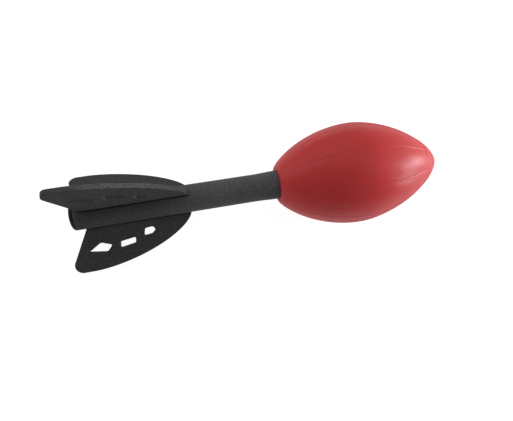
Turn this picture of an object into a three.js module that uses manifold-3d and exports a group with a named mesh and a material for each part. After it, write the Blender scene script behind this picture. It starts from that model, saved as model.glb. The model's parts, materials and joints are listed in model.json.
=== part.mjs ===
// Vortex throwing toy: a seamed oval foam head on a straight foam tail tube that carries three
// swept sheet fins with cut-out windows. The pieces are built round the toy's own axis, +X from
// the tail end towards the nose. The whole toy is then laid on a level floor, as it comes to rest
// on its belly and its two lower fins. Lengths are in millimetres.
import * as THREE from 'three';
import { mergeVertices } from 'three/addons/utils/BufferGeometryUtils.js';
import Module from 'manifold-3d';

const wasm = await Module();
wasm.setup();

// Driving dimensions
const glueGap = 0.3;
const cutOverrun = 2;

// Foam tail tube, from the tail end to the head's rear face and on into the head's socket
const tail = {
  length: 175,
  radius: 12,
  flareLength: 22,
  flareRise: 0.7,
  socketDepth: 18,
};

// Stiff tube inside the foam one
const core = {
  radius: 6,
  wall: 1.5,
  depthInHead: 75,
};

const tailPlug = {
  flange: 3,
  edgeRound: 2,
  spigotLength: 14,
  leadChamfer: 1,
};

// Mushroom that holds the core's front end in the head
const anchor = {
  radius: 12,
  rim: 2,
  dome: 4,
  spigotLength: 12,
  leadChamfer: 1,
};

// Head, from its flat rear face to its widest girth and on to the nose; the powers set how full
// each half of its outline is
const head = {
  rearRadius: 16,
  rearLength: 71.8,
  radius: 45.5,
  noseLength: 82.5,
  rearPower: 1.95,
  rearGirthPower: 1.23,
  nosePower: 1.7,
  noseGirthPower: 1.455,
};

// Grooves that run along the head at equal angles and end at a ring round the nose
const seam = {
  count: 9,
  width: 2,
  depth: 0.6,
  turnFromTop: THREE.MathUtils.degToRad(-4),
};

const noseRing = {
  radius: 24,
  width: 2,
  depth: 0.4,
};

// Sheet fins, whose root tabs stand in slots cut through the tail tube down to the core. The top
// one is set in with a slight lean towards the left one
const fin = {
  names: ['fin_top', 'fin_right', 'fin_left'],
  topLean: THREE.MathUtils.degToRad(5.6),
  thickness: 4.6,
  rootFromTailEnd: 8.8,
  rootLength: 87.5,
  span: 38,
  sweep: 16.2,
  tipRound: 6.7,
  edgePower: 1.63,
  spanPower: 1.5,
  windowCorner: 1.5,
};

// Each window's corners: along the root's length from its rear end, and out over the span
const windowShares = [
  [[-0.03, 0.55], [0.1, 0.36], [0.2, 0.45], [0.14, 0.61]],
  [[0.28, 0.41], [0.43, 0.36], [0.42, 0.51], [0.27, 0.57]],
  [[0.53, 0.2], [0.51, 0.38], [0.59, 0.36], [0.63, 0.27], [0.61, 0.18]],
];

// Number of flats along each rounded stretch
const flats = {
  turnCount: 48,
  edgeCount: 4,
  flareCount: 4,
  rearHalfCount: 14,
  frontHalfCount: 12,
  noseCount: 6,
  seamPanelCount: 6,
  finEdgeCount: 28,
  cornerCount: 6,
};

// Places along the axis and radii that follow from the dimensions
const headRear = tail.length;
const headWidest = headRear + head.rearLength;
const socketRadius = tail.radius + tail.flareRise + glueGap;
const socketFloor = headRear + tail.socketDepth;
const coreRear = tailPlug.flange + glueGap;
const coreFront = headRear + core.depthInHead;
const slipRadius = core.radius + glueGap;
const spigotRadius = core.radius - core.wall - glueGap;
const anchorRear = coreFront + glueGap;
const finRootFront = fin.rootFromTailEnd + fin.rootLength;
const finReach = tail.radius + fin.span;

const material = {
  headFoam: new THREE.MeshStandardMaterial({ color: 0xbe2a2e, roughness: 0.5, metalness: 0 }),
  tubeFoam: new THREE.MeshStandardMaterial({ color: 0x343434, roughness: 0.95, metalness: 0 }),
  finFoam: new THREE.MeshStandardMaterial({ color: 0x2c2c2b, roughness: 0.95, metalness: 0 }),
  corePlastic: new THREE.MeshStandardMaterial({ color: 0xdedcd6, roughness: 0.4, metalness: 0 }),
  plugPlastic: new THREE.MeshStandardMaterial({ color: 0x1c1c1c, roughness: 0.6, metalness: 0 }),
};

function at(x, radius) {
  return new THREE.Vector2(radius, x);
}

// Points of an outline at equal steps of a share that goes from 0 to 1
function stepped(count, pointAt) {
  return Array.from({ length: count + 1 }, (_, step) => pointAt(step / count));
}

// The bare shell of a geometry: each corner once, and no face that has lost a side
function welded(geometry) {
  geometry.deleteAttribute('normal');
  geometry.deleteAttribute('uv');
  const shell = mergeVertices(geometry);
  const index = shell.index.array;
  const kept = [];
  for (let i = 0; i < index.length; i += 3) {
    const [a, b, c] = index.slice(i, i + 3);
    if (a !== b && b !== c && c !== a) kept.push(a, b, c);
  }
  shell.setIndex(kept);
  shell.computeVertexNormals();
  return shell;
}

function solidOf(shell) {
  return new wasm.Manifold(new wasm.Mesh({
    numProp: 3,
    vertProperties: Float32Array.from(shell.attributes.position.array),
    triVerts: Uint32Array.from(shell.index.array),
  }));
}

function shellOf(solid) {
  const mesh = solid.getMesh();
  const shell = new THREE.BufferGeometry();
  shell.setAttribute('position', new THREE.BufferAttribute(mesh.vertProperties, 3));
  shell.setIndex(new THREE.BufferAttribute(mesh.triVerts, 1));
  shell.computeVertexNormals();
  return shell;
}

// Revolves an outline round the toy's axis. It runs forwards along the outside and starts and
// ends on the axis, or comes back along the bore to where it started
function turned(outline) {
  const geometry = new THREE.LatheGeometry(outline, flats.turnCount);
  geometry.rotateZ(-Math.PI / 2);
  return welded(geometry);
}

function piece(name, shell, look) {
  const mesh = new THREE.Mesh(shell, look);
  mesh.name = name;
  return mesh;
}

// A quarter of a superellipse, as shares: all out at no turn, and all along at a quarter turn
function bowed(turn, alongPower, outPower) {
  return {
    along: Math.sin(turn) ** (2 / alongPower),
    out: Math.max(0, Math.cos(turn)) ** (2 / outPower),
  };
}

// Outline behind the widest girth: no turn there, and a quarter turn at the rear face
function rearPoint(turn) {
  const { along, out } = bowed(turn, head.rearPower, head.rearGirthPower);
  const radius = head.rearRadius + (head.radius - head.rearRadius) * out;
  return at(headWidest - head.rearLength * along, radius);
}

// Outline before the widest girth: no turn there, and a quarter turn at the tip. The depth presses
// the point in along the outline's normal
function nosePoint(turn, depth = 0) {
  const { along, out } = bowed(turn, head.nosePower, head.noseGirthPower);
  const normal = at(
    (head.nosePower * along ** (head.nosePower - 1)) / head.noseLength,
    (head.noseGirthPower * out ** (head.noseGirthPower - 1)) / head.radius,
  ).normalize();
  const skin = at(headWidest + head.noseLength * along, head.radius * out);
  return skin.addScaledVector(normal, -depth);
}

function noseTurnAt(radius) {
  return Math.acos((radius / head.radius) ** (head.noseGirthPower / 2));
}

function headOutline() {
  const quarter = Math.PI / 2;
  const ringStart = noseTurnAt(noseRing.radius + noseRing.width / 2);
  const ringEnd = noseTurnAt(noseRing.radius - noseRing.width / 2);
  return [
    at(headRear, 0),
    ...stepped(flats.rearHalfCount, (share) => rearPoint(quarter * (1 - share))),
    ...stepped(flats.frontHalfCount, (share) => nosePoint(ringStart * share)).slice(1),
    nosePoint(noseTurnAt(noseRing.radius), noseRing.depth),
    ...stepped(flats.noseCount, (share) => nosePoint(ringEnd + (quarter - ringEnd) * share)),
  ];
}

// Turn of a column of the head's skin: each panel's first column lies in its seam, the next and
// the last at the seam's edges, and the others evenly between
function columnTurn(column, radius) {
  const panelTurn = (2 * Math.PI) / seam.count;
  const panel = Math.floor(column / flats.seamPanelCount);
  const place = column % flats.seamPanelCount;
  const edge = Math.min(seam.width / 2 / radius, panelTurn / flats.seamPanelCount);
  const turnInPanel = place === 0
    ? 0
    : THREE.MathUtils.mapLinear(place, 1, flats.seamPanelCount - 1, edge, panelTurn - edge);
  return seam.turnFromTop + panel * panelTurn + turnInPanel;
}

// The head's skin, revolved from its outline with the seams pressed in behind the nose ring. Its
// last column is its first one again, so that the skin closes
function seamedSkin() {
  const outline = headOutline();
  const seamEnd = nosePoint(noseTurnAt(noseRing.radius)).y;
  const columns = seam.count * flats.seamPanelCount;
  const geometry = new THREE.LatheGeometry(outline, columns);
  const corners = geometry.attributes.position;
  for (let i = 0; i < corners.count; i += 1) {
    const { x: skinRadius, y: along } = outline[i % outline.length];
    const column = Math.floor(i / outline.length) % columns;
    const inSeam = column % flats.seamPanelCount === 0 && along < seamEnd && skinRadius > seam.depth;
    const radius = inSeam ? skinRadius - seam.depth : skinRadius;
    const turn = columnTurn(column, skinRadius);
    corners.setXYZ(i, radius * Math.sin(turn), along, radius * Math.cos(turn));
  }
  geometry.rotateZ(-Math.PI / 2);
  return welded(geometry);
}

// The anchor's rim and domed front, grown by the gap that its pocket leaves
function anchorOutline(gap) {
  const rimFront = anchorRear + anchor.rim;
  return [
    at(anchorRear - gap, anchor.radius + gap),
    ...stepped(flats.edgeCount, (share) => at(
      rimFront + (anchor.dome + gap) * Math.sin((Math.PI / 2) * share),
      (anchor.radius + gap) * Math.max(0, Math.cos((Math.PI / 2) * share)),
    )),
  ];
}

function headPiece() {
  const hollow = turned([
    at(headRear - cutOverrun, 0),
    at(headRear - cutOverrun, socketRadius),
    at(socketFloor, socketRadius),
    at(socketFloor, slipRadius),
    at(anchorRear - glueGap, slipRadius),
    ...anchorOutline(glueGap),
  ]);
  const moulded = solidOf(seamedSkin()).subtract(solidOf(hollow));
  return piece('head', shellOf(moulded), material.headFoam);
}

function finTurn(number) {
  const evenTurn = Math.PI / 2 + (number * 2 * Math.PI) / fin.names.length;
  return number === 0 ? evenTurn - fin.topLean : evenTurn;
}

function finSlot(number) {
  const height = tail.radius + cutOverrun;
  const slot = new THREE.BoxGeometry(
    fin.rootLength + 2 * glueGap,
    height,
    fin.thickness + 2 * glueGap,
  );
  slot.translate(fin.rootFromTailEnd + fin.rootLength / 2, height / 2, 0);
  slot.rotateX(finTurn(number));
  return welded(slot);
}

function tailTubePiece() {
  const flareStart = headRear - tail.flareLength;
  const front = socketFloor - glueGap;
  const tube = turned([
    at(coreRear, slipRadius),
    at(coreRear, tail.radius),
    ...stepped(flats.flareCount, (share) => at(
      flareStart + tail.flareLength * share,
      tail.radius + tail.flareRise * THREE.MathUtils.smoothstep(share, 0, 1),
    )),
    at(front, tail.radius + tail.flareRise),
    at(front, slipRadius),
    at(coreRear, slipRadius),
  ]);
  let slotted = solidOf(tube);
  fin.names.forEach((_, number) => {
    slotted = slotted.subtract(solidOf(finSlot(number)));
  });
  return piece('tail_tube', shellOf(slotted), material.tubeFoam);
}

function corePiece() {
  const bore = core.radius - core.wall;
  const tube = turned([
    at(coreRear, bore),
    at(coreRear, core.radius),
    at(coreFront, core.radius),
    at(coreFront, bore),
    at(coreRear, bore),
  ]);
  return piece('core_tube', tube, material.corePlastic);
}

function tailPlugPiece() {
  const spigotEnd = tailPlug.flange + tailPlug.spigotLength;
  const edge = stepped(flats.edgeCount, (share) => at(
    tailPlug.edgeRound * (1 - Math.cos((Math.PI / 2) * share)),
    tail.radius - tailPlug.edgeRound * (1 - Math.sin((Math.PI / 2) * share)),
  ));
  const plug = turned([
    at(0, 0),
    ...edge,
    at(tailPlug.flange, tail.radius),
    at(tailPlug.flange, spigotRadius),
    at(spigotEnd - tailPlug.leadChamfer, spigotRadius),
    at(spigotEnd, spigotRadius - tailPlug.leadChamfer),
    at(spigotEnd, 0),
  ]);
  return piece('tail_plug', plug, material.plugPlastic);
}

function anchorPiece() {
  const spigotStart = coreFront - anchor.spigotLength;
  const mushroom = turned([
    at(spigotStart, 0),
    at(spigotStart, spigotRadius - anchor.leadChamfer),
    at(spigotStart + anchor.leadChamfer, spigotRadius),
    at(anchorRear, spigotRadius),
    ...anchorOutline(0),
  ]);
  return piece('head_anchor', mushroom, material.plugPlastic);
}

// A closed loop through the corners, each rounded off over the corner length
function roundedLoop(corners, cornerLength) {
  const loop = new THREE.Path();
  corners.forEach((corner, i) => {
    const before = corners[(i + corners.length - 1) % corners.length];
    const after = corners[(i + 1) % corners.length];
    const arrive = before.clone().sub(corner).setLength(cornerLength).add(corner);
    const leave = after.clone().sub(corner).setLength(cornerLength).add(corner);
    if (i === 0) loop.moveTo(arrive.x, arrive.y);
    else loop.lineTo(arrive.x, arrive.y);
    loop.quadraticCurveTo(corner.x, corner.y, leave.x, leave.y);
  });
  loop.closePath();
  return loop;
}

function windowLoop(cornerShares) {
  const corners = cornerShares.map(([alongShare, outShare]) => new THREE.Vector2(
    fin.rootFromTailEnd + fin.rootLength * alongShare,
    tail.radius + fin.span * outShare,
  ));
  return roundedLoop(corners, fin.windowCorner);
}

// A fin's outline in the plane of the axis and its own radius: the tab, the bowed outer edge, the
// rounded tip, and the straight trailing edge that touches the tip's arc
function finOutline() {
  const rootRear = new THREE.Vector2(fin.rootFromTailEnd, tail.radius);
  const tip = new THREE.Vector2(rootRear.x - fin.sweep + fin.tipRound, finReach - fin.tipRound);
  const toTip = tip.clone().sub(rootRear);
  const trailingTurn = toTip.angle() + Math.asin(fin.tipRound / toTip.length());
  const outline = new THREE.Shape();
  outline.moveTo(rootRear.x, slipRadius);
  outline.lineTo(finRootFront, slipRadius);
  stepped(flats.finEdgeCount, (share) => {
    const { along, out } = bowed((Math.PI / 2) * (1 - share), fin.edgePower, fin.spanPower);
    outline.lineTo(rootRear.x + fin.rootLength * along, tail.radius + fin.span * out);
  });
  outline.absarc(tip.x, tip.y, fin.tipRound, Math.PI / 2, trailingTurn + Math.PI / 2, false);
  outline.lineTo(rootRear.x, rootRear.y);
  outline.closePath();
  outline.holes = windowShares.map(windowLoop);
  return outline;
}

function finPiece(name, number) {
  const sheet = new THREE.ExtrudeGeometry(finOutline(), {
    depth: fin.thickness,
    bevelEnabled: false,
    curveSegments: flats.cornerCount,
  });
  sheet.translate(0, 0, -fin.thickness / 2);
  const mesh = piece(name, welded(sheet), material.finFoam);
  mesh.rotation.x = finTurn(number);
  return mesh;
}

// The corner of some pieces that is lowest when the nose is pitched up
function lowestCorner(pieces, pitch) {
  let lowest = null;
  let lowestHeight = Infinity;
  pieces.forEach((mesh) => {
    for (let i = 0; i < mesh.geometry.attributes.position.count; i += 1) {
      const corner = mesh.getVertexPosition(i, new THREE.Vector3());
      corner.applyMatrix4(mesh.matrixWorld);
      const height = corner.x * Math.sin(pitch) + corner.z * Math.cos(pitch);
      if (height < lowestHeight) {
        lowest = corner;
        lowestHeight = height;
      }
    }
  });
  return lowest;
}

// The pitch at which the belly and the lower fins touch the floor together. Each try levels the
// two lowest corners of the last one, until both stay the same
function restingPitch(belly, fins, pitch = 0) {
  const front = lowestCorner([belly], pitch);
  const rear = lowestCorner(fins, pitch);
  const levelled = Math.atan2(rear.z - front.z, front.x - rear.x);
  return levelled === pitch ? pitch : restingPitch(belly, fins, levelled);
}

// Lays the toy on the floor, with the middle of its box over the origin
function laidDown(toy, belly, fins) {
  toy.updateMatrixWorld(true);
  toy.rotation.y = -restingPitch(belly, fins);
  toy.updateMatrixWorld(true);
  const box = new THREE.Box3().setFromObject(toy, true);
  const middle = box.getCenter(new THREE.Vector3());
  toy.position.set(-middle.x, -middle.y, -box.min.z);
  return toy;
}

const belly = headPiece();
const fins = fin.names.map(finPiece);
const toy = new THREE.Group();
toy.add(belly, tailTubePiece(), corePiece(), tailPlugPiece(), anchorPiece(), ...fins);

const model = new THREE.Group();
model.add(laidDown(toy, belly, fins));

export default model;
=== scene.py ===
"""Looks of the vortex throwing toy: a seamed red foam head, a dark foam tail tube and three sheet
fins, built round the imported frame. Pieces are made along the toy's own axis, +X from the tail end
to the nose, in metres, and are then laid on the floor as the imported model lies."""
import json
import math

import bmesh
import bpy
from mathutils import Matrix, Vector


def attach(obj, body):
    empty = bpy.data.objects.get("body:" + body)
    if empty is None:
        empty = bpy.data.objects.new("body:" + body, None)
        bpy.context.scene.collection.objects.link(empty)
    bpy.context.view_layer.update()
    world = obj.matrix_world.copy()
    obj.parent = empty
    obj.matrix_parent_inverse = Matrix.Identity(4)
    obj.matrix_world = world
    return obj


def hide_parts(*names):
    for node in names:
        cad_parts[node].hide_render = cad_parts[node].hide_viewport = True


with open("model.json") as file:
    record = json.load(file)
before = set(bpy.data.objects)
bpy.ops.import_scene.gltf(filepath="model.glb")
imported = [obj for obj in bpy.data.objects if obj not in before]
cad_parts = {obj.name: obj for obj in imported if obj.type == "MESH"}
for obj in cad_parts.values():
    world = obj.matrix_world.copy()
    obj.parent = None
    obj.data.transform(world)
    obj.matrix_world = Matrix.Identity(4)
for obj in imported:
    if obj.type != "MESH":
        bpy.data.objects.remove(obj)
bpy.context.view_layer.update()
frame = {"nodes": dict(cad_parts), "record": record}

MM = 0.001
QUARTER = math.pi / 2

# Sizes of the toy, in metres along its own axis
GLUE_GAP = 0.3 * MM
TAIL = dict(length=175 * MM, radius=12 * MM, flare_length=22 * MM, flare_rise=0.7 * MM,
            socket_depth=18 * MM, start=3.3 * MM, end_row=6.4 * MM, bore=6.3 * MM,
            lip=0.55 * MM)
PLUG = dict(flange=3 * MM, edge_round=2 * MM, spigot_end=17 * MM, spigot_radius=4.2 * MM,
            lead=1 * MM, dish_radius=7.5 * MM, dish_floor=6 * MM, dish_depth=0.5 * MM,
            mark_radius=1.6 * MM, mark_foot=2.16 * MM, mark_depth=0.2 * MM)
HEAD = dict(rear_radius=16 * MM, rear_length=71.8 * MM, radius=45.5 * MM,
            nose_length=82.5 * MM, rear_power=1.95, rear_girth_power=1.23, nose_power=1.7,
            nose_girth_power=1.455)
SEAM = dict(count=9, turn_from_top=math.radians(-4), groove_depth=0.23 * MM,
            groove_half=0.7 * MM, valley_depth=0.2 * MM, valley_half=6 * MM)
RING = dict(radius=24 * MM, depth=0.28 * MM, half=0.75 * MM, band=0.05)
UNEVEN_DEPTH, UNEVEN_SCALE = 0.25 * MM, 38.0
FIN = dict(top_lean=math.radians(5.6), thickness=4.6 * MM, root_start=8.8 * MM,
           root_length=87.5 * MM, span=38 * MM, sweep=16.2 * MM, tip_round=6.7 * MM,
           edge_power=1.63, span_power=1.5, window_corner=1.5 * MM, edge_round=0.6 * MM,
           slot_gap=0.6 * MM)
# Each window's corners: along the root's length from its rear end, and out over the span
WINDOWS = (
    ((-0.03, 0.55), (0.1, 0.36), (0.2, 0.45), (0.14, 0.61)),
    ((0.28, 0.41), (0.43, 0.36), (0.42, 0.51), (0.27, 0.57)),
    ((0.53, 0.2), (0.51, 0.38), (0.59, 0.36), (0.63, 0.27), (0.61, 0.18)),
)
FIN_NAMES = ("fin_top", "fin_right", "fin_left")
HEAD_REAR = TAIL["length"]
HEAD_WIDEST = HEAD_REAR + HEAD["rear_length"]
SOCKET_RADIUS = TAIL["radius"] + TAIL["flare_rise"] + GLUE_GAP

# How finely each skin is divided
HEAD_ROWS, PANEL_COLUMNS = 200, 30
SLOT_ROWS, NECK_ROWS, SLOT_COLUMNS, WALL_COLUMNS = 24, 30, 6, 30
EDGE_STEPS, TIP_STEPS, CORNER_STEPS = 60, 18, 5
FLANGE_STEPS, PLUG_COLUMNS, ROUND_SEGMENTS = 10, 96, 3
# Points nearer than this are one, and edges steeper than these angles stay sharp or get a lip
TOGETHER = 1e-6
SHARP_FROM, FOAM_SHARP_FROM, LIP_FROM = (math.radians(angle) for angle in (35, 60, 40))

# Where the toy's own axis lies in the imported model
tail_end = next(m for m in frame["record"]["mounts"] if m["name"] == "tail_end")
pitch = math.atan2(-tail_end["axis"][2], -tail_end["axis"][0])
AXIS = [-part for part in tail_end["axis"]]
LAID = Matrix.Translation(tail_end["pos_m"]) @ Matrix.Rotation(-pitch, 4, "Y")


# Node trees

class Wire:
    """One output in a node tree. Arithmetic on it adds the tree's Math nodes."""

    def __init__(self, tree, socket):
        self.tree, self.socket = tree, socket

    def output(self, name):
        return Wire(self.tree, self.socket.node.outputs[name])

    def math(self, operation, *values):
        return self.tree.add("ShaderNodeMath", {"operation": operation}, dict(enumerate(values)))

    def __add__(self, other):
        return self.math("ADD", self, other)

    __radd__ = __add__

    def __sub__(self, other):
        return self.math("SUBTRACT", self, other)

    def __rsub__(self, other):
        return self.math("SUBTRACT", other, self)

    def __mul__(self, other):
        return self.math("MULTIPLY", self, other)

    __rmul__ = __mul__

    def __truediv__(self, other):
        return self.math("DIVIDE", self, other)

    def __rtruediv__(self, other):
        return self.math("DIVIDE", other, self)

    def __pow__(self, other):
        return self.math("POWER", self, other)

    def __abs__(self):
        return self.math("ABSOLUTE", self)

    def at_least(self, other):
        return self.math("MAXIMUM", self, other)

    def rising(self, start, end, low=0.0, high=1.0):
        """Goes from low to high as this value goes from start to end, and no further."""
        return self.tree.add("ShaderNodeMapRange", {"clamp": True}, {
            "Value": self, "From Min": start, "From Max": end, "To Min": low, "To Max": high})


class Tree:
    """A node tree under construction."""

    def __init__(self, nodes_owner):
        self.tree = nodes_owner

    def add(self, kind, settings=None, sockets=None, output=0):
        """Adds a node: its settings first, then the values or links of its sockets."""
        node = self.tree.nodes.new(kind)
        for name, value in (settings or {}).items():
            setattr(node, name, value)
        for name, value in (sockets or {}).items():
            if isinstance(value, Wire):
                self.tree.links.new(value.socket, node.inputs[name])
            else:
                node.inputs[name].default_value = value
        return Wire(self, node.outputs[output]) if len(node.outputs) else node


class ShapeTree(Tree):
    """A Geometry Nodes tree with named inputs, which a modifier sets by identifier."""

    def __init__(self, name, inputs):
        super().__init__(bpy.data.node_groups.new(name, "GeometryNodeTree"))
        sockets = self.tree.interface
        sockets.new_socket("Geometry", in_out="INPUT", socket_type="NodeSocketGeometry")
        sockets.new_socket("Geometry", in_out="OUTPUT", socket_type="NodeSocketGeometry")
        for label, (kind, value) in inputs.items():
            made = sockets.new_socket(label, in_out="INPUT", socket_type="NodeSocket" + kind)
            if value is not None:
                made.default_value = value
        self.start = self.add("NodeGroupInput")

    def given(self, name):
        return self.start.output(name)

    def close(self, shape):
        """Ends the tree, which leaves plain faces with their material."""
        real = self.add("GeometryNodeRealizeInstances", sockets={"Geometry": shape})
        dressed = self.add("GeometryNodeSetMaterial", sockets={
            "Geometry": real, "Material": self.given("Material")})
        self.add("NodeGroupOutput", sockets={"Geometry": dressed})
        return self.tree


def grown(name, base, tree, values):
    """The base mesh put through a shape tree, as a plain mesh object that has no modifier."""
    seed = bpy.data.objects.new(name, base)
    bpy.context.scene.collection.objects.link(seed)
    modifier = seed.modifiers.new("shape", "NODES")
    modifier.node_group = tree
    for item in tree.interface.items_tree:
        if item.item_type == "SOCKET" and item.in_out == "INPUT" and item.name in values:
            modifier[item.identifier] = values[item.name]
    return settled(seed)


def settled(piece):
    """Turns what the piece's modifiers make of it into its own mesh."""
    bpy.context.view_layer.update()
    seen = piece.evaluated_get(bpy.context.evaluated_depsgraph_get())
    mesh = bpy.data.meshes.new_from_object(seen)
    mesh.name = piece.name
    piece.modifiers.clear()
    piece.data = mesh
    return piece


# Materials

class Finish(Tree):
    """A surface material: one Principled shader, and the patterns that feed it."""

    def __init__(self, name, **fixed):
        material = bpy.data.materials.new(name)
        material.use_nodes = True
        material.node_tree.nodes.clear()
        super().__init__(material.node_tree)
        self.material = material
        self.shader = self.add("ShaderNodeBsdfPrincipled", sockets=fixed)
        self.place = self.add("ShaderNodeTexCoord", output="Object")
        self.add("ShaderNodeOutputMaterial", sockets={"Surface": self.shader})

    def noise(self, scale, detail=2.0, roughness=0.5):
        return self.add("ShaderNodeTexNoise", sockets={
            "Vector": self.place, "Scale": scale, "Detail": detail, "Roughness": roughness})

    def cells(self, scale):
        return self.add("ShaderNodeTexVoronoi", {"feature": "F1"}, {
            "Vector": self.place, "Scale": scale}, "Distance")

    def attribute(self, name):
        return self.add("ShaderNodeAttribute", {"attribute_name": name}, output="Fac")

    def along_axis(self):
        """How far a place is from the tail end, along the toy's own axis."""
        return self.add("ShaderNodeVectorMath", {"operation": "DOT_PRODUCT"}, {
            0: self.from_tail_end(), 1: AXIS}, "Value")

    def off_axis(self):
        """How far a place is from the toy's own axis."""
        across = self.add("ShaderNodeVectorMath", {"operation": "CROSS_PRODUCT"}, {
            0: self.from_tail_end(), 1: AXIS})
        return self.add("ShaderNodeVectorMath", {"operation": "LENGTH"}, {0: across}, "Value")

    def from_tail_end(self):
        return self.add("ShaderNodeVectorMath", {"operation": "SUBTRACT"}, {
            0: self.place, 1: tail_end["pos_m"]})

    def blend(self, share, first, second):
        """One colour over another, by a share from 0 to 1."""
        return self.add("ShaderNodeMix", {"data_type": "RGBA"}, {0: share, 6: first, 7: second}, 2)

    def bump(self, height, distance, strength):
        return self.add("ShaderNodeBump", sockets={
            "Height": height, "Distance": distance, "Strength": strength})

    def feed(self, **links):
        for name, value in links.items():
            socket = self.shader.socket.node.inputs[name.replace("_", " ")]
            self.tree.links.new(value.socket, socket)
        return self.material


def grey(value, tint=(1, 1, 1)):
    return tuple(value * part for part in tint) + (1.0,)


# Shades of the finishes. The scales of their patterns are per metre
RED_DEEP, RED_PALE = (0.44, 0.036, 0.0365, 1), (0.49, 0.042, 0.043, 1)
# The first red below is painted shade and dust in the head's seam and ring grooves, the second the
# skin's specks
RED_SHADE_AND_DUST, RED_SPECK = (0.2, 0.01, 0.01, 1), (0.5, 0.05, 0.045, 1)
TUBE_FOAM = dict(dark=0.066, light=0.114, torn=0.12, tint=(0.98, 1.0, 1.02), cell_scale=1500)
FIN_FOAM = dict(dark=0.034, light=0.066, torn=0.1, tint=(1.0, 1.01, 0.97), cell_scale=1400)
TORN_TINT = (1.03, 1, 0.95)
BLACK_PLASTIC = dict(dark=grey(0.010), light=grey(0.016), rough_low=0.42, rough_high=0.55)
WHITE_PLASTIC = dict(dark=(0.68, 0.66, 0.61, 1), light=(0.76, 0.74, 0.7, 1),
                     rough_low=0.34, rough_high=0.42)


def head_foam():
    """Moulded foam with its own satin skin: fine grain, small pores, faint mottling, and seams and
    a nose ring a little darker with painted shade and dust in their grooves. Its gloss softens
    where it is seen at a slant, as a rough skin's does."""
    look = Finish("head_foam", **{"Specular IOR Level": 0.52, "IOR": 1.2})
    mottle = look.noise(22, detail=3.0)
    grain = look.noise(2600)
    pores = look.cells(1500).rising(0.0, 0.45)
    seam = look.attribute("seam")
    red = look.blend(mottle.rising(0.35, 0.7), RED_DEEP, RED_PALE)
    # Painted shade and dust: the seams' and nose ring's grooves are darkened a little
    groove_shade_and_dust = look.blend(seam.rising(0.5, 1.0) * 0.05, red, RED_SHADE_AND_DUST)
    speckled = look.blend(grain.rising(0.62, 0.8) * 0.12, groove_shade_and_dust, RED_SPECK)
    rear_face = look.along_axis().rising(HEAD_REAR + 0.1 * MM, HEAD_REAR + 0.5 * MM, 1.0, 0.0)
    aslant = look.add("ShaderNodeLayerWeight", sockets={"Blend": 0.5}, output="Facing")
    satin = 0.27 + mottle * 0.05 + grain * 0.03 + aslant ** 4 * 0.55
    rough = satin.at_least(rear_face * 0.55)
    relief = look.bump(grain * 0.6 + pores * 0.4, distance=0.06 * MM, strength=0.6)
    return look.feed(Base_Color=speckled, Roughness=rough, Normal=relief)


def foam_skin(look, cut_share, painted_shade, dark, light, torn, tint, cell_scale):
    """Closed-cell foam: a speckled skin of small cells, with paler open cells where it is cut,
    darkened by painted shade where asked.
    """
    specks = look.noise(cell_scale, detail=3.0, roughness=0.7)
    flecks = look.noise(cell_scale * 0.42, roughness=0.6)
    cells = look.cells(cell_scale * 0.8)
    mottle = look.noise(34, detail=3.0)
    open_cells = look.cells(cell_scale * 0.5).rising(0.1, 0.65)
    skin = look.blend(specks.rising(0.42, 0.68), grey(dark, tint), grey(light, tint))
    dim = look.blend(flecks.rising(0.34, 0.5) * 0.6 + 0.4, grey(dark * 0.8, tint), skin)
    flecked = look.blend(flecks.rising(0.5, 0.68) * 0.4, dim, grey(light * 1.1, tint))
    tone = look.blend(mottle.rising(0.3, 0.7) * 0.3, flecked, grey(dark * 0.8, tint))
    edge = look.blend(open_cells, grey(torn * 0.5, TORN_TINT), grey(torn, TORN_TINT))
    # Painted shade: where asked, the colour goes towards a near-black
    colour = look.blend(painted_shade, look.blend(cut_share, tone, edge), grey(dark * 0.2))
    rough = 0.82 + specks * 0.16
    height = specks * 0.5 + cells.rising(0.0, 0.6) * (0.5 + cut_share * 0.8)
    relief = look.bump(height, distance=0.35 * MM, strength=0.7)
    return look.feed(Base_Color=colour, Roughness=rough, Normal=relief)


def tail_foam():
    """The tube's foam: paler where its end was cut, and darkened by painted shade between the fins,
    towards the tail.
    """
    look = Finish("tube_foam", **{"Specular IOR Level": 0.2})
    along = look.along_axis()
    end_cut = along.rising(TAIL["start"] + 1.2 * MM, TAIL["start"] + 2.6 * MM, 1.0, 0.0)
    fins_end = FIN["root_start"] + FIN["root_length"]
    # Painted shade of the fins and of light falling off towards the tail, from 25 mm ahead of the
    # fins' front ends back to the tail
    painted_shade = along.rising(fins_end - 30 * MM, fins_end + 25 * MM, 0.5, 0.0)
    return foam_skin(look, end_cut, painted_shade, **TUBE_FOAM)


def sheet_foam():
    """The fins' foam: its cut edge is palest midway, and painted shade darkens it along the root,
    where it meets the tube.
    """
    look = Finish("fin_foam", **{"Specular IOR Level": 0.2})
    along = (look.along_axis() - FIN["root_start"]) / FIN["root_length"]
    off = look.off_axis()
    out = (off - TAIL["radius"]) / FIN["span"]
    rim = along.at_least(0.0) ** FIN["edge_power"] + out.at_least(0.0) ** FIN["span_power"]
    pale = 0.3 + 0.7 * along.rising(0.05, 0.2) * along.rising(0.6, 1.0, 1.0, 0.0)
    cut_share = look.attribute("cut") * rim.rising(0.65, 0.8, 0.5, 1.0) * pale
    # Painted shade along the fin's root, fading out 1.5 mm from the tube
    painted_root_shade = off.rising(TAIL["radius"] + 0.3 * MM, TAIL["radius"] + 1.5 * MM, 1.0, 0.0)
    return foam_skin(look, cut_share, painted_root_shade * 0.75, **FIN_FOAM)


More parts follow.
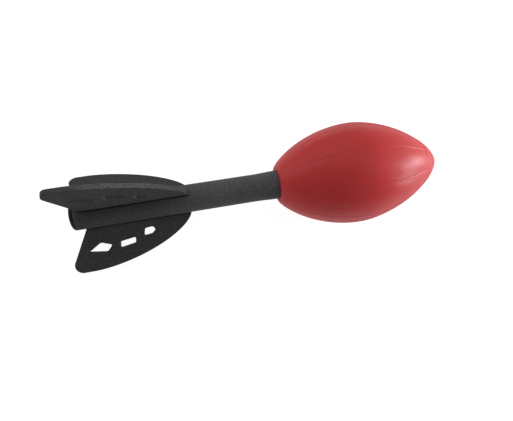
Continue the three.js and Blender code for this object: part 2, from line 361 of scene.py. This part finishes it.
def moulded_plastic(name, dark, light, rough_low, rough_high):
    """Plastic with the faint grain of its mould, rubbed a little smoother in patches."""
    look = Finish(name, **{"Specular IOR Level": 0.12})
    cloud = look.noise(120, detail=3.0)
    grain = look.noise(4200)
    colour = look.blend(cloud.rising(0.3, 0.7), dark, light)
    rough = cloud.rising(0.3, 0.7, rough_low, rough_high) + grain * 0.05
    relief = look.bump(grain, distance=0.05 * MM, strength=0.5)
    return look.feed(Base_Color=colour, Roughness=rough, Normal=relief)


def floor_paper():
    """A plain pale sheet, lit so evenly that it shows no shadow."""
    look = Finish("floor_paper", **{"Specular IOR Level": 0.2, "Emission Strength": 0.92,
                                    "Emission Color": (1, 1, 1, 1)})
    cloud = look.noise(6)
    colour = look.blend(cloud.rising(0.3, 0.7), grey(0.22), grey(0.24))
    return look.feed(Base_Color=colour, Roughness=0.75 + cloud * 0.1)


# Shapes

def flared_radius(x):
    """The tail tube's radius at a place along the axis."""
    share = min(1.0, max(0.0, (x - HEAD_REAR + TAIL["flare_length"]) / TAIL["flare_length"]))
    return TAIL["radius"] + TAIL["flare_rise"] * share * share * (3 - 2 * share)


def nose_turn(radius):
    return math.acos((radius / HEAD["radius"]) ** (HEAD["nose_girth_power"] / 2))


def nose_x(turn):
    return HEAD_WIDEST + HEAD["nose_length"] * math.sin(turn) ** (2 / HEAD["nose_power"])


def outward(mesh, joined=False):
    """Turns every face outwards, where asked after points that lie together are joined."""
    work = bmesh.new()
    work.from_mesh(mesh)
    if joined:
        bmesh.ops.remove_doubles(work, verts=work.verts, dist=TOGETHER)
    bmesh.ops.recalc_face_normals(work, faces=work.faces)
    work.to_mesh(mesh)
    work.free()
    return mesh


def plain_mesh(name, points, faces):
    """A mesh made of points and faces, which all point outwards."""
    work = bmesh.new()
    corners = [work.verts.new(p) for p in points]
    for face in faces:
        work.faces.new([corners[i] for i in face])
    bmesh.ops.recalc_face_normals(work, faces=work.faces)
    mesh = bpy.data.meshes.new(name)
    work.to_mesh(mesh)
    work.free()
    return mesh


def head_tree():
    """The head's skin: two quarter superellipses turned round the axis, with grooved seams between
    slightly crowned panels, a ring round the nose and a socket for the tail tube."""
    tree = ShapeTree("seamed_head", {
        "Rear": ("Float", 0.0), "Rear Length": ("Float", 0.0), "Rear Radius": ("Float", 0.0),
        "Radius": ("Float", 0.0), "Nose Length": ("Float", 0.0), "Socket Radius": ("Float", 0.0),
        "Socket Depth": ("Float", 0.0), "Seams": ("Int", SEAM["count"]),
        "First Seam": ("Float", 0.0),
        "Groove Depth": ("Float", 0.0), "Groove Half": ("Float", 0.0),
        "Valley Depth": ("Float", 0.0), "Valley Half": ("Float", 0.0),
        "Ring Radius": ("Float", 0.0), "Ring Place": ("Float", 0.0), "Ring Depth": ("Float", 0.0),
        "Ring Half": ("Float", 0.0), "Ring Turn": ("Float", 0.0), "Ring Band": ("Float", 0.0),
        "Rows": ("Int", HEAD_ROWS), "Columns": ("Int", PANEL_COLUMNS),
        "Material": ("Material", None)})
    seams = tree.given("Seams")
    grid = tree.add("GeometryNodeMeshGrid", sockets={
        "Size X": 1.0, "Size Y": 1.0, "Vertices X": tree.given("Rows"),
        "Vertices Y": seams * tree.given("Columns") + 1})
    where = tree.add("GeometryNodeInputPosition")
    spot = tree.add("ShaderNodeSeparateXYZ", sockets={0: where}, output="X")
    along_share, round_share = spot + 0.5, spot.output("Y") + 0.5

    # Rows: nearly half of them are behind the widest girth, and a tenth in the nose ring's band
    widest, band_start, band_end = 0.45, 0.8, 0.9
    rear_turn = along_share.rising(0.0, widest, QUARTER, 0.0)
    ring_turn, band = tree.given("Ring Turn"), tree.given("Ring Band")
    nose = (along_share.rising(widest, band_start, 0.0, ring_turn - band)
            + along_share.rising(band_start, band_end, 0.0, 2 * band)
            + along_share.rising(band_end, 1.0, 0.0, QUARTER - ring_turn - band))

    def sine(turn, power):
        return turn.math("SINE", turn).at_least(0.0) ** (2 / power)

    def cosine(turn, power):
        return turn.math("COSINE", turn).at_least(0.0) ** (2 / power)

    rear_radius = tree.given("Rear Radius")
    x = (tree.given("Rear") + tree.given("Rear Length") * (1 - sine(rear_turn, HEAD["rear_power"]))
         + tree.given("Nose Length") * sine(nose, HEAD["nose_power"]))
    girth = rear_radius + ((tree.given("Radius") - rear_radius)
                           * cosine(rear_turn, HEAD["rear_girth_power"]))
    radius = girth * cosine(nose, HEAD["nose_girth_power"])

    # Columns: they draw together towards both sides of a panel
    panel = round_share * seams
    number = panel.math("FLOOR", panel)
    across = (panel - number) * 2 - 1
    drawn = across.math("SINE", across * QUARTER) * 0.5 + 0.5
    turn = tree.given("First Seam") + (number + drawn) / seams * (2 * math.pi)
    skin_place = tree.add("ShaderNodeCombineXYZ", sockets={
        "X": x, "Y": radius * turn.math("SINE", turn) * -1,
        "Z": radius * turn.math("COSINE", turn)})
    flat = tree.add("GeometryNodeStoreNamedAttribute", {
        "data_type": "FLOAT", "domain": "POINT"}, {
        "Geometry": grid, "Name": "rear", "Value": along_share.rising(0.0, 0.001, 1.0, 0.0)})
    skin = tree.add("GeometryNodeSetPosition", sockets={"Geometry": flat, "Position": skin_place})

    # The rear edge goes in to the socket, along its wall and shut at its floor
    def drawn_in(shape, top, new_radius, step):
        now = tree.add("ShaderNodeSeparateXYZ", sockets={
            0: tree.add("GeometryNodeInputPosition")}, output="X")
        y, z = now.output("Y"), now.output("Z")
        scale = new_radius / ((y * y + z * z) ** 0.5).at_least(1e-9)
        moved = tree.add("ShaderNodeCombineXYZ", sockets={
            "X": now + step, "Y": y * scale, "Z": z * scale})
        return tree.add("GeometryNodeSetPosition", sockets={
            "Geometry": shape, "Selection": top, "Position": moved})

    def extruded(shape, edge):
        return tree.add("GeometryNodeExtrudeMesh", {"mode": "EDGES"}, {
            "Mesh": shape, "Selection": edge, "Offset Scale": 0.0})

    rear = tree.add("GeometryNodeInputNamedAttribute", {"data_type": "FLOAT"}, {"Name": "rear"},
                    output="Attribute")
    socket_radius = tree.given("Socket Radius")
    face = extruded(skin, rear.math("GREATER_THAN", rear, 0.99))
    face_in = drawn_in(face, face.output("Top"), socket_radius, 0.0)
    wall = extruded(face_in, face.output("Top"))
    wall_in = drawn_in(wall, wall.output("Top"), socket_radius, tree.given("Socket Depth"))
    base = extruded(wall_in, wall.output("Top"))
    base_in = drawn_in(base, base.output("Top"), 0.0, 0.0)
    closed = tree.add("GeometryNodeFlipFaces", sockets={
        "Mesh": tree.add("GeometryNodeMergeByDistance", sockets={
            "Geometry": base_in, "Distance": TOGETHER})})

    # Seams, panels and ring are pressed in along the skin's normal
    now = tree.add("ShaderNodeSeparateXYZ", sockets={
        0: tree.add("GeometryNodeInputPosition")}, output="X")
    y, z = now.output("Y"), now.output("Z")
    out = (y * y + z * z) ** 0.5
    turned = now.math("ARCTAN2", 0 - y, z) - tree.given("First Seam")
    panels = turned * seams / (2 * math.pi) + 0.5
    aside = abs(panels - panels.math("FLOOR", panels) - 0.5) / seams * (2 * math.pi) * out
    ring_place = tree.given("Ring Place")
    on_skin = now.math("GREATER_THAN", out, socket_radius + 0.4 * MM)
    behind_ring = now.rising(ring_place - MM, ring_place + MM, 1.0, 0.0) * on_skin
    from_rear = now - tree.given("Rear")
    # A fifth of the seams' depth at the tube, three fifths 25 mm on, and all of it 100 mm on
    depth_share = (from_rear.rising(0.0, 25 * MM, 0.2, 0.6)
                   + from_rear.rising(60 * MM, 100 * MM, 0.0, 0.4))
    groove = (1 - (aside / tree.given("Groove Half")) ** 2).at_least(0.0) ** 2
    valley = (1 - aside / tree.given("Valley Half")).at_least(0.0) ** 2
    from_ring = ((now - ring_place) ** 2 + (out - tree.given("Ring Radius")) ** 2) ** 0.5
    ring = (1 - (from_ring / tree.given("Ring Half")) ** 2).at_least(0.0) ** 2
    uneven = tree.add("ShaderNodeTexNoise", sockets={
        "Vector": tree.add("GeometryNodeInputPosition"), "Scale": UNEVEN_SCALE, "Detail": 1.0})
    press = ((groove * tree.given("Groove Depth") * depth_share
              + valley * tree.given("Valley Depth") * depth_share) * behind_ring
             + ring * tree.given("Ring Depth") + (uneven - 1.0) * UNEVEN_DEPTH * on_skin)
    marked = tree.add("GeometryNodeStoreNamedAttribute", {
        "data_type": "FLOAT", "domain": "POINT"}, {
        "Geometry": closed, "Name": "seam", "Value": (groove * behind_ring).at_least(ring)})
    normal = tree.add("GeometryNodeInputNormal")
    inwards = tree.add("ShaderNodeVectorMath", {"operation": "SCALE"}, {
        "Vector": normal, "Scale": press * -1})
    pressed = tree.add("GeometryNodeSetPosition", sockets={"Geometry": marked, "Offset": inwards})
    return tree.close(pressed)


def make_head(material):
    ring = nose_turn(RING["radius"])
    return grown("head_skin", bpy.data.meshes.new("head_skin"), head_tree(), {
        "Rear": HEAD_REAR, "Rear Length": HEAD["rear_length"], "Rear Radius": HEAD["rear_radius"],
        "Radius": HEAD["radius"], "Nose Length": HEAD["nose_length"],
        "Socket Radius": SOCKET_RADIUS, "Socket Depth": TAIL["socket_depth"],
        "Seams": SEAM["count"], "First Seam": SEAM["turn_from_top"],
        "Groove Depth": SEAM["groove_depth"], "Groove Half": SEAM["groove_half"],
        "Valley Depth": SEAM["valley_depth"], "Valley Half": SEAM["valley_half"],
        "Ring Radius": RING["radius"], "Ring Place": nose_x(ring), "Ring Depth": RING["depth"],
        "Ring Half": RING["half"], "Ring Turn": ring, "Ring Band": RING["band"],
        "Rows": HEAD_ROWS, "Columns": PANEL_COLUMNS, "Material": material})


def fin_turn(number):
    """A fin's turn round the axis: even, but for the top one's lean towards the left one."""
    number %= len(FIN_NAMES)
    even_turn = QUARTER + number * 2 * math.pi / len(FIN_NAMES)
    return even_turn - FIN["top_lean"] if number == 0 else even_turn


def make_tube():
    """The foam tube as one closed wall with an outer and an inner skin, open at the fins' slots."""
    half = FIN["thickness"] / 2 + FIN["slot_gap"]
    slot_start = FIN["root_start"] - GLUE_GAP
    slot_end = FIN["root_start"] + FIN["root_length"] + GLUE_GAP
    front = HEAD_REAR + TAIL["socket_depth"] - GLUE_GAP
    rows = [TAIL["start"], TAIL["end_row"], slot_start]
    for start, end, count in ((slot_start, slot_end, SLOT_ROWS), (slot_end, front, NECK_ROWS)):
        rows += [start + (end - start) * i / count for i in range(1, count + 1)]
    outer_half, inner_half = (math.asin(half / r) for r in (TAIL["radius"], TAIL["bore"]))
    columns = []
    for fin in range(len(FIN_NAMES)):
        middle = fin_turn(fin) - QUARTER
        span = (fin_turn(fin + 1) - fin_turn(fin)) % (2 * math.pi)
        for i in range(SLOT_COLUMNS):
            share = 2 * i / SLOT_COLUMNS - 1
            columns.append((middle + outer_half * share, middle + inner_half * share, True))
        for i in range(WALL_COLUMNS):
            share = i / WALL_COLUMNS
            columns.append((middle + outer_half + (span - 2 * outer_half) * share,
                            middle + inner_half + (span - 2 * inner_half) * share, False))
    points = []
    for x in rows:
        for outer, inner, _ in columns:
            for radius, turn in ((flared_radius(x), outer), (TAIL["bore"], inner)):
                points.append((x, -radius * math.sin(turn), radius * math.cos(turn)))

    def corner(row, column, inside):
        return (row * len(columns) + column % len(columns)) * 2 + inside

    def solid(row, column):
        if not 0 <= row < len(rows) - 1:
            return False
        middle = (rows[row] + rows[row + 1]) / 2
        return not (columns[column % len(columns)][2] and slot_start < middle < slot_end)

    faces = []
    for row in range(len(rows) - 1):
        for column in range(len(columns)):
            if not solid(row, column):
                continue
            ring = ((row, column), (row + 1, column), (row + 1, column + 1), (row, column + 1))
            for inside in (0, 1):
                faces.append([corner(*c, inside) for c in ring])
            sides = {(row - 1, column): (ring[0], ring[3]), (row + 1, column): (ring[1], ring[2]),
                     (row, column - 1): (ring[0], ring[1]), (row, column + 1): (ring[3], ring[2])}
            for neighbour, (a, b) in sides.items():
                if not solid(*neighbour):
                    faces.append([corner(*a, 0), corner(*b, 0), corner(*b, 1), corner(*a, 1)])
    return points, faces


def make_sheet_mesh():
    """One fin as a flat curve with its windows, given its thickness and rounded cut edges."""
    root = Vector((FIN["root_start"], TAIL["radius"]))
    front = FIN["root_start"] + FIN["root_length"]
    tip = Vector((root.x - FIN["sweep"] + FIN["tip_round"],
                  TAIL["radius"] + FIN["span"] - FIN["tip_round"]))
    to_tip = tip - root
    trailing = math.atan2(to_tip.y, to_tip.x) + math.asin(FIN["tip_round"] / to_tip.length)
    outline = [(root.x, TAIL["bore"]), (front, TAIL["bore"])]
    for i in range(EDGE_STEPS + 1):
        turn = QUARTER * i / EDGE_STEPS
        along = max(0.0, math.cos(turn)) ** (2 / FIN["edge_power"])
        out = math.sin(turn) ** (2 / FIN["span_power"])
        outline.append((root.x + FIN["root_length"] * along, TAIL["radius"] + FIN["span"] * out))
    for i in range(1, TIP_STEPS + 1):
        turn = QUARTER + trailing * i / TIP_STEPS
        outline.append((tip.x + FIN["tip_round"] * math.cos(turn),
                        tip.y + FIN["tip_round"] * math.sin(turn)))
    outline.append(tuple(root))
    loops = [outline]
    for window in WINDOWS:
        corners = [Vector((root.x + FIN["root_length"] * a, TAIL["radius"] + FIN["span"] * o))
                   for a, o in window]
        loop = []
        for i, corner in enumerate(corners):
            before, after = corners[i - 1], corners[(i + 1) % len(corners)]
            arrive = corner + (before - corner).normalized() * FIN["window_corner"]
            leave = corner + (after - corner).normalized() * FIN["window_corner"]
            for step in range(CORNER_STEPS + 1):
                t = step / CORNER_STEPS
                loop.append(arrive * (1 - t) ** 2 + corner * 2 * t * (1 - t) + leave * t * t)
        loops.append(loop)
    flat = bpy.data.curves.new("fin_sheet", "CURVE")
    flat.dimensions, flat.fill_mode = "2D", "BOTH"
    flat.extrude = FIN["thickness"] / 2 - FIN["edge_round"]
    flat.bevel_depth, flat.bevel_resolution = FIN["edge_round"], ROUND_SEGMENTS
    flat.offset = -FIN["edge_round"]
    for loop in loops:
        spline = flat.splines.new("POLY")
        spline.points.add(len(loop) - 1)
        for point, place in zip(spline.points, loop):
            point.co = (place[0], place[1], 0.0, 1.0)
        spline.use_cyclic_u = True
    pattern = bpy.data.objects.new("fin_sheet", flat)
    bpy.context.scene.collection.objects.link(pattern)
    mesh = bpy.data.meshes.new_from_object(
        pattern.evaluated_get(bpy.context.evaluated_depsgraph_get()))
    bpy.data.objects.remove(pattern)
    return outward(mesh, joined=True)


def fin_tree():
    """A sheet fin stood up at its turn round the axis, with its cut faces marked."""
    tree = ShapeTree("turned_fin", {"Turn": ("Float", 0.0), "Material": ("Material", None)})
    normal = tree.add("ShaderNodeSeparateXYZ", sockets={
        0: tree.add("GeometryNodeInputNormal")}, output="Z")
    edge = abs(normal).rising(0.3, 0.85, 1.0, 0.0)
    marked = tree.add("GeometryNodeStoreNamedAttribute", {
        "data_type": "FLOAT", "domain": "FACE"}, {
        "Geometry": tree.given("Geometry"), "Name": "cut", "Value": edge})
    turned = tree.add("GeometryNodeTransform", sockets={
        "Geometry": marked, "Rotation": tree.add("ShaderNodeCombineXYZ", sockets={
            "X": tree.given("Turn")})})
    return tree.close(turned)


def make_plug():
    """The tail plug, turned: a flange with a rounded edge, a shallow dish with a moulding mark in
    its middle, and the spigot."""
    flange, rounding, dish_depth = PLUG["flange"], PLUG["edge_round"], PLUG["dish_depth"]
    dish_slope = PLUG["dish_radius"] - PLUG["dish_floor"]
    profile = [(PLUG["mark_depth"], 0.0), (PLUG["mark_depth"], PLUG["mark_radius"]),
               (dish_depth, PLUG["mark_foot"]), (dish_depth, PLUG["dish_floor"])]
    profile += [(dish_depth * (1 - t * t * (3 - 2 * t)), PLUG["dish_floor"] + dish_slope * t)
                for t in (0.25, 0.5, 0.75, 1.0)]
    for i in range(FLANGE_STEPS + 1):
        turn = QUARTER * i / FLANGE_STEPS
        profile.append((rounding * (1 - math.cos(turn)),
                        TAIL["radius"] - rounding * (1 - math.sin(turn))))
    profile += [(flange, TAIL["radius"]), (flange, PLUG["spigot_radius"]),
                (PLUG["spigot_end"] - PLUG["lead"], PLUG["spigot_radius"]),
                (PLUG["spigot_end"], PLUG["spigot_radius"] - PLUG["lead"]),
                (PLUG["spigot_end"], 0.0)]
    return turned_shape(profile, PLUG_COLUMNS)


def turned_shape(profile, columns):
    """Points and faces of a profile turned round the axis, with its first and last point on it."""
    points = [(profile[0][0], 0.0, 0.0)]
    for x, radius in profile[1:-1]:
        for column in range(columns):
            turn = 2 * math.pi * column / columns
            points.append((x, radius * math.sin(turn), radius * math.cos(turn)))
    points.append((profile[-1][0], 0.0, 0.0))
    faces = []
    for column in range(columns):
        after = (column + 1) % columns
        faces.append([0, 1 + column, 1 + after])
        for row in range(len(profile) - 3):
            a, b = 1 + row * columns, 1 + (row + 1) * columns
            faces.append([a + column, b + column, b + after, a + after])
        last = 1 + (len(profile) - 3) * columns
        faces.append([last + column, len(points) - 1, last + after])
    return points, faces


# Assembly

def placed(piece, material=None, sharp_from=SHARP_FROM, even=False):
    """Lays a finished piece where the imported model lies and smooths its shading."""
    mesh = piece.data
    mesh.transform(LAID)
    if material:
        mesh.materials.clear()
        mesh.materials.append(material)
    mesh.polygons.foreach_set("use_smooth", [True] * len(mesh.polygons))
    mesh.set_sharp_from_angle(angle=sharp_from)
    mesh.update()
    if even:
        piece.modifiers.new("even", "WEIGHTED_NORMAL").keep_sharp = True
        settled(piece)
    return piece


def new_piece(name, mesh):
    piece = bpy.data.objects.new(name, mesh)
    bpy.context.scene.collection.objects.link(piece)
    return piece


def dressed(piece, slot, *nodes):
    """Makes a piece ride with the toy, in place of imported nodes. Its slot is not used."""
    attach(piece, "root")
    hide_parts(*nodes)


red_foam = head_foam()
tube_foam = tail_foam()
fin_foam = sheet_foam()
black_plastic = moulded_plastic("plug_plastic", **BLACK_PLASTIC)
white_plastic = moulded_plastic("core_plastic", **WHITE_PLASTIC)

head = make_head(red_foam)
outward(head.data)
placed(head, red_foam)
dressed(head, "head_foam", "head")

tube = new_piece("tail_tube_skin", plain_mesh("tail_tube_skin", *make_tube()))
lips = tube.modifiers.new("lips", "BEVEL")
lips.width, lips.segments = TAIL["lip"], ROUND_SEGMENTS
lips.limit_method, lips.angle_limit = "ANGLE", LIP_FROM
settled(tube)
placed(tube, tube_foam, FOAM_SHARP_FROM, even=True)
dressed(tube, "tube_foam", "tail_tube")

sheet = make_sheet_mesh()
turning = fin_tree()
for number, name in enumerate(FIN_NAMES):
    fin = grown(name + "_sheet", sheet, turning, {
        "Turn": fin_turn(number), "Material": fin_foam})
    placed(fin, None, FOAM_SHARP_FROM, even=True)
    dressed(fin, "fin_foam", name)

plug = new_piece("tail_plug_cap", plain_mesh("tail_plug_cap", *make_plug()))
placed(plug, black_plastic)
dressed(plug, "plug_plastic", "tail_plug")

for name, material in (("core_tube", white_plastic), ("head_anchor", black_plastic)):
    for slot in frame["nodes"][name].material_slots:
        slot.material = material


# Floor, light and camera

def area_light(name, place, aim, size, power, tint):
    data = bpy.data.lights.new(name, "AREA")
    data.shape, data.size, data.size_y = "RECTANGLE", size[0], size[1]
    data.energy, data.color = power, tint
    lamp = bpy.data.objects.new(name, data)
    lamp.location = place
    lamp.rotation_euler = (aim - place).to_track_quat("-Z", "Y").to_euler()
    bpy.context.scene.collection.objects.link(lamp)


def direction(turn, rise):
    """Towards a turn round the toy from the nose and a height, both in degrees."""
    turn, rise = math.radians(turn), math.radians(rise)
    return Vector((math.cos(rise) * math.cos(turn), math.cos(rise) * math.sin(turn),
                   math.sin(rise)))


FLOOR_HALF = 6
floor = new_piece("floor", plain_mesh("floor", [
    (-FLOOR_HALF, -FLOOR_HALF, 0), (FLOOR_HALF, -FLOOR_HALF, 0),
    (FLOOR_HALF, FLOOR_HALF, 0), (-FLOOR_HALF, FLOOR_HALF, 0)], [(0, 1, 2, 3)]))
floor.data.materials.append(floor_paper())

# The pale room's even glow, and the turn and height of each soft one on its walls, how narrow it is
# and how strong
EVEN_GLOW = 0.12
ROOM_GLOWS = ((15, 18, 16, 2.14), (60, 18, 16, 0.62), (150, 18, 16, 2.28), (120, 50, 10, 1.85))
world = bpy.data.worlds.new("studio")
world.use_nodes = True
world.node_tree.nodes.clear()
studio = Tree(world.node_tree)
towards = studio.add("ShaderNodeTexCoord", output="Generated")
glow = EVEN_GLOW
for turn, rise, narrow, strength in ROOM_GLOWS:
    facing = studio.add("ShaderNodeVectorMath", {"operation": "DOT_PRODUCT"}, {
        0: towards, 1: direction(turn, rise)}, "Value")
    glow = glow + facing.at_least(0.0) ** narrow * strength
walls = studio.add("ShaderNodeBackground", sockets={"Color": (1, 1, 1, 1), "Strength": glow})
# Behind the floor's far edge stands a plain pale sheet, which gives no light
backdrop = studio.add("ShaderNodeBackground", sockets={"Color": grey(0.86), "Strength": 1.0})
seen = studio.add("ShaderNodeLightPath", output="Is Camera Ray")
room = studio.add("ShaderNodeMixShader", sockets={0: seen, 1: walls, 2: backdrop})
studio.add("ShaderNodeOutputWorld", sockets={"Surface": room})
bpy.context.scene.world = world

# Each lamp's turn round the toy from the nose, its height, its size, its power and its tint
DAYLIGHT, LAMPLIGHT = (0.97, 1.0, 1.08), (1, 1, 1)
PANE, PANEL, WIDE_PANEL = (0.08, 0.12), (0.12, 0.16), (0.45, 0.45)
LAMPS = {
    "window_left": (4, 10, PANE, 0.48, DAYLIGHT),
    "window_middle": (-2, 10, PANE, 0.92, DAYLIGHT),
    "window_right": (-8, 20, PANE, 0.43, DAYLIGHT),
    "low_side_window": (-25, 3, PANEL, 0.55, DAYLIGHT),
    "side_window": (-30, 12, PANEL, 0.48, DAYLIGHT),
    "near_panel": (-16, 14, PANEL, 0.72, LAMPLIGHT),
    "raised_panel": (-10, 28, PANEL, 0.43, LAMPLIGHT),
    "high_panel": (-15, 45, WIDE_PANEL, 0.58, LAMPLIGHT),
    "ceiling_panel": (0, 80, WIDE_PANEL, 0.45, LAMPLIGHT),
}
# They all aim at the head's upper half from the same distance
LIT_SPOT, LAMP_REACH = Vector((0.12, -0.01, 0.08)), 0.6
for name, (turn, rise, size, power, tint) in LAMPS.items():
    area_light(name, LIT_SPOT + direction(turn, rise) * LAMP_REACH, LIT_SPOT, size, power, tint)

# The photograph's own camera, as its fit to the toy gave it
view = bpy.data.cameras.new("view")
view.sensor_width, view.lens = 36, 27.06
camera = bpy.data.objects.new("view", view)
camera.location = (-0.08304, -0.1063, 0.35503)
camera.rotation_euler = (math.radians(17.1095), math.radians(-10.1773), math.radians(-11.5625))
bpy.context.scene.collection.objects.link(camera)
bpy.context.scene.camera = camera
bpy.context.scene.view_settings.view_transform = "Standard"
